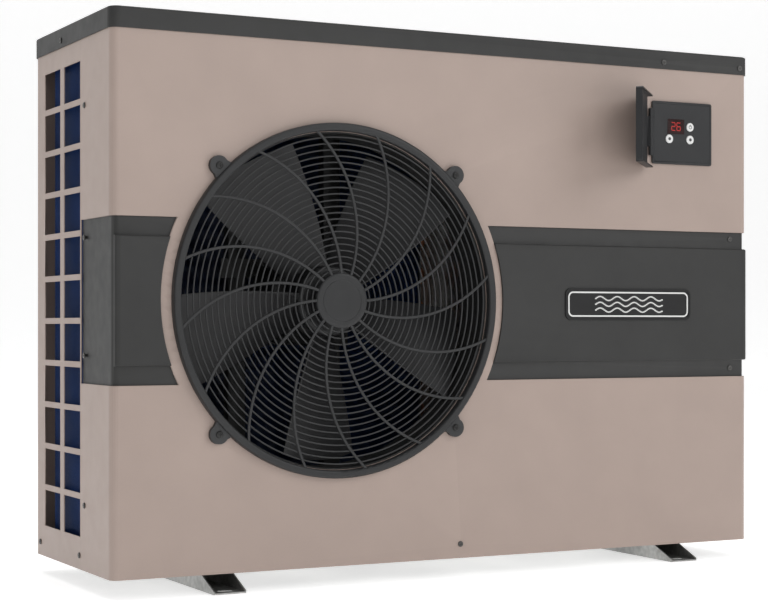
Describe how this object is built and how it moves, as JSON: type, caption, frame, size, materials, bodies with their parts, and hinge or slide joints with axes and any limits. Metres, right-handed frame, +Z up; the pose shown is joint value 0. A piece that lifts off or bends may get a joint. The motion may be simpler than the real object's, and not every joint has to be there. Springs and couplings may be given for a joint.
{
  "type": "pool heat pump",
  "caption": "Outdoor pool water heat pump: sheet-metal cabinet with a guarded axial fan, wrap-around coil, keypad under a hinged flap and rear water unions.",
  "frame": {"origin": "on the ground at the centre of the four anchor slots in the feet", "axes": "+X to the right seen from the front, -Y out of the fan front, +Z up"},
  "size_m": [1.0256, 0.5271, 0.768],
  "materials": {
    "tan_coat": "satin powder coat",
    "dark_coat": "satin powder coat",
    "galvanised": "galvanised sheet",
    "zinc_screw": "zinc plated",
    "dark_plastic": "fine grain",
    "guard_coat": "coated",
    "fan_plastic": "moulded",
    "coil_blue": "hydrophilic coating",
    "copper": "drawn tube",
    "motor_black": "gloss enamel",
    "rubber": "moulded",
    "pvc_grey": "moulded PVC",
    "pvc_white": "moulded PVC",
    "board_green": "solder mask",
    "key_white": "moulded",
    "display_dark": "tinted window",
    "badge_dark": "blank plate",
    "brass": "machined"
  },
  "bodies": {
    "cabinet": {"base_pan": "galvanised", "foot_left": "galvanised", "foot_right": "galvanised", "base_bolts": "zinc_screw", "front_panel": "tan_coat", "band_left": "dark_coat", "band_right": "dark_coat", "badge_plate": "badge_dark", "guard_frame": "guard_coat", "guard_net": "guard_coat", "guard_screws": "dark_coat", "casing_screws": "zinc_screw", "side_grille": "tan_coat", "rear_grille": "tan_coat", "rear_panel": "tan_coat", "side_panel": "tan_coat", "side_grip": "dark_plastic", "top_cover": "dark_coat", "partition": "galvanised", "fan_shroud": "dark_plastic", "fan_motor": "motor_black", "motor_rails": "galvanised", "coil_fins": "coil_blue", "coil_plates": "galvanised", "coil_bends": "copper", "compressor": "motor_black", "compressor_grommets": "rubber", "accumulator": "motor_black", "heat_exchanger": "pvc_white", "water_pipes": "pvc_white", "union_bodies": "pvc_grey", "union_seals": "rubber", "union_tails": "pvc_grey", "cable_gland": "dark_plastic", "condensate_spout": "dark_plastic", "reversing_valve": "brass", "refrigerant_lines": "copper", "filter_drier": "copper", "expansion_valve": "brass", "electrical_box": "galvanised", "electrical_lid": "galvanised", "control_board": "board_green", "terminal_block": "dark_plastic", "contactor": "dark_plastic", "run_capacitor": "galvanised", "flow_switch": "dark_plastic", "controller_case": "dark_plastic", "controller_face": "dark_plastic", "display_window": "display_dark", "display_board": "board_green", "hinge_pin": "zinc_screw"},
    "fan": {"fan_rotor": "fan_plastic", "motor_shaft": "zinc_screw", "fan_nut": "zinc_screw"},
    "inlet_nut": {"union_nut_inlet": "pvc_grey"},
    "outlet_nut": {"union_nut_outlet": "pvc_grey"},
    "flap": {"controller_flap": "dark_plastic"},
    "power_key": {"button_power": "key_white"},
    "up_key": {"button_up": "key_white"},
    "down_key": {"button_down": "key_white"}
  },
  "joints": [
    {"name": "fan_spin", "type": "hinge", "parent": "cabinet", "child": "fan", "pos_m": [-0.202, -0.13, 0.389], "axis": [0, 1, 0], "continuous": true},
    {"name": "flap_hinge", "type": "hinge", "parent": "cabinet", "child": "flap", "pos_m": [0.3092, -0.1946, 0.6445], "axis": [0, 0, 1], "range_deg": [-28, 132]},
    {"name": "inlet_nut_turn", "type": "hinge", "parent": "cabinet", "child": "inlet_nut", "pos_m": [0.406, 0.182, 0.144], "axis": [0, 1, 0], "continuous": true},
    {"name": "outlet_nut_turn", "type": "hinge", "parent": "cabinet", "child": "outlet_nut", "pos_m": [0.406, 0.182, 0.334], "axis": [0, 1, 0], "continuous": true},
    {"name": "power_key_press", "type": "slide", "parent": "cabinet", "child": "power_key", "axis": [0, 1, 0], "range_m": [0, 0.001], "stiffness_N_per_m": 600, "springref_m": -0.0005},
    {"name": "up_key_press", "type": "slide", "parent": "cabinet", "child": "up_key", "axis": [0, 1, 0], "range_m": [0, 0.001], "stiffness_N_per_m": 600, "springref_m": -0.0005},
    {"name": "down_key_press", "type": "slide", "parent": "cabinet", "child": "down_key", "axis": [0, 1, 0], "range_m": [0, 0.001], "stiffness_N_per_m": 600, "springref_m": -0.0005}
  ]
}
